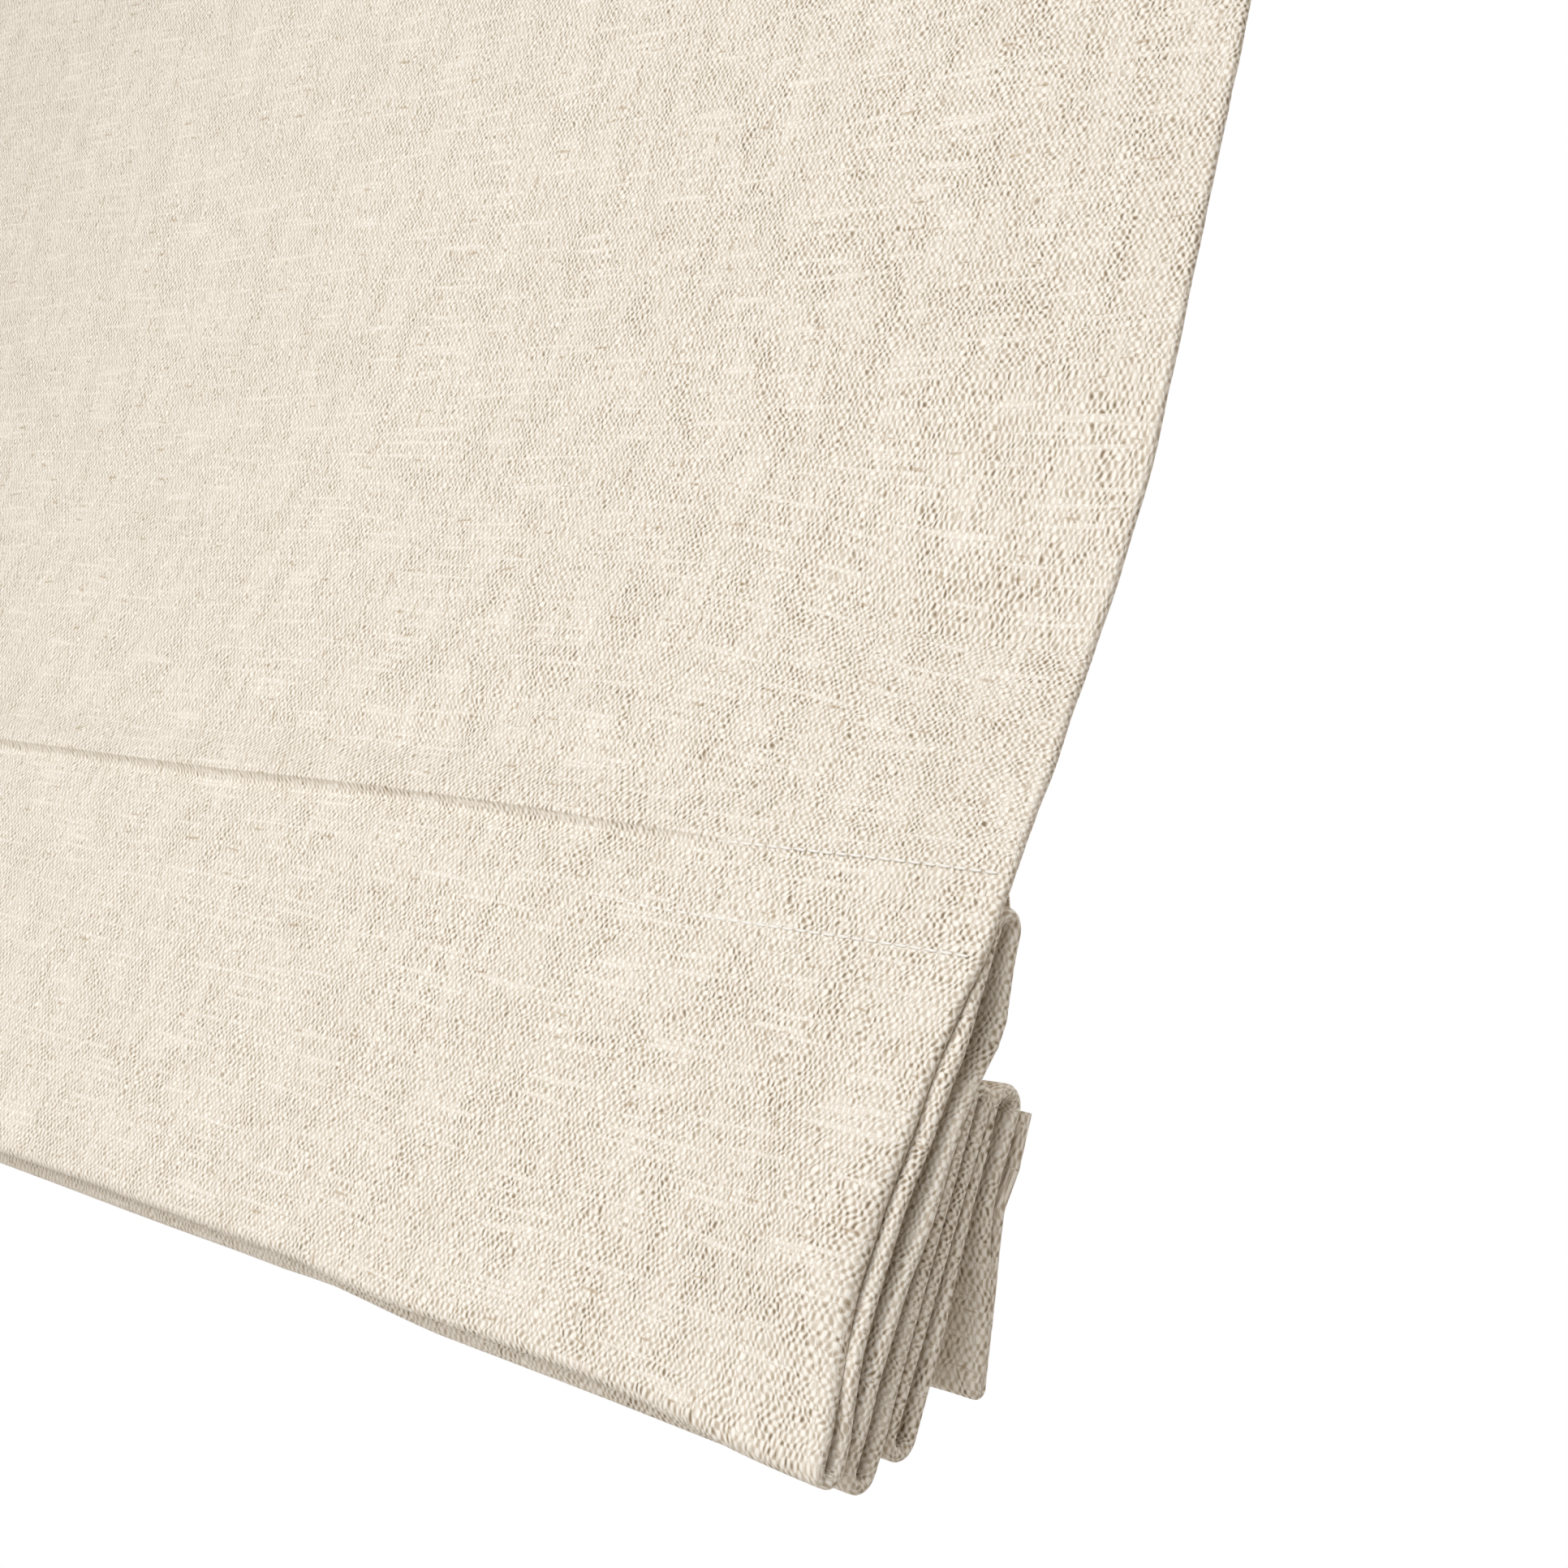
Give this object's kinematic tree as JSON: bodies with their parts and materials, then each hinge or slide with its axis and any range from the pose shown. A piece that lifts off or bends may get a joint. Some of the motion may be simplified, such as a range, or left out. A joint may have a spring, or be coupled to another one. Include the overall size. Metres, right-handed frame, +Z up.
{
  "type": "roman blind",
  "caption": "Hobbled linen roman blind, partly raised: a top panel over a stack of soft folds with hidden rods, rings and cords, on a headrail with a cordless spring lift.",
  "frame": {"origin": "centre of the brackets' screw pattern, on the wall plane", "axes": "+X along the headrail to the right seen from the room, +Y into the wall, +Z up"},
  "size_m": [0.9, 0.0754, 0.4709],
  "materials": {
    "linen": "natural slubby plain weave",
    "pocket_linen": "natural plain weave, doubled",
    "rail_paint": "satin off-white powder coat",
    "white_plastic": "moulded, fine texture",
    "grey_plastic": "moulded, fine texture",
    "bracket_steel": "zinc plated",
    "spring_steel": "rolled strip",
    "shaft_steel": "drawn bar",
    "rod_fibre": "white glass-fibre rod",
    "ring_plastic": "clear white moulding",
    "cord": "braided polyester",
    "tape": "hook and loop pile",
    "bar_aluminium": "mill finish"
  },
  "bodies": {
    "headrail": {"headrail": "rail_paint", "end_cap_left": "white_plastic", "end_cap_right": "white_plastic", "bracket_left": "bracket_steel", "bracket_right": "bracket_steel", "hook_tape": "tape", "loop_tape": "tape", "cradle_left": "white_plastic", "cradle_middle": "white_plastic", "cradle_right": "white_plastic", "motor_case": "grey_plastic", "motor_cover": "grey_plastic", "power_spring": "spring_steel", "lift_cord_left": "cord", "lift_cord_middle": "cord", "lift_cord_right": "cord", "cloth_top_panel": "linen"},
    "shaft": {"drive_shaft": "shaft_steel", "spool_left": "white_plastic", "spool_middle": "white_plastic", "spool_right": "white_plastic", "cord_turns_left": "cord", "cord_turns_middle": "cord", "cord_turns_right": "cord", "output_drum": "grey_plastic"},
    "storage": {"storage_drum": "grey_plastic"},
    "stack": {"cloth_folds": "linen", "rod_1": "rod_fibre", "rod_2": "rod_fibre", "rod_3": "rod_fibre", "rod_4": "rod_fibre", "rod_pocket_1": "pocket_linen", "rod_pocket_2": "pocket_linen", "rod_pocket_3": "pocket_linen", "rod_pocket_4": "pocket_linen", "rings_1": "ring_plastic", "rings_2": "ring_plastic", "rings_3": "ring_plastic", "rings_4": "ring_plastic", "cord_knots": "cord", "hem_bar": "bar_aluminium"}
  },
  "joints": [
    {"name": "stack_lift", "type": "slide", "parent": "headrail", "child": "stack", "axis": [0, 0, 1], "range_m": [0, 0.2], "deforming": ["cloth_top_panel", "lift_cord_left", "lift_cord_middle", "lift_cord_right"]},
    {"name": "shaft_turn", "type": "hinge", "parent": "headrail", "child": "shaft", "pos_m": [0, -0.03625, 0.001], "axis": [1, 0, 0], "range_deg": [-1260, 0]},
    {"name": "storage_turn", "type": "hinge", "parent": "headrail", "child": "storage", "pos_m": [0.165, -0.01725, 0.001], "axis": [1, 0, 0], "range_deg": [0, 1080]}
  ],
  "couplings": [
    {"joint": "shaft_turn", "follows": "stack_lift", "rad_per_m": -109.29},
    {"joint": "storage_turn", "follows": "stack_lift", "rad_per_m": 93.489}
  ]
}
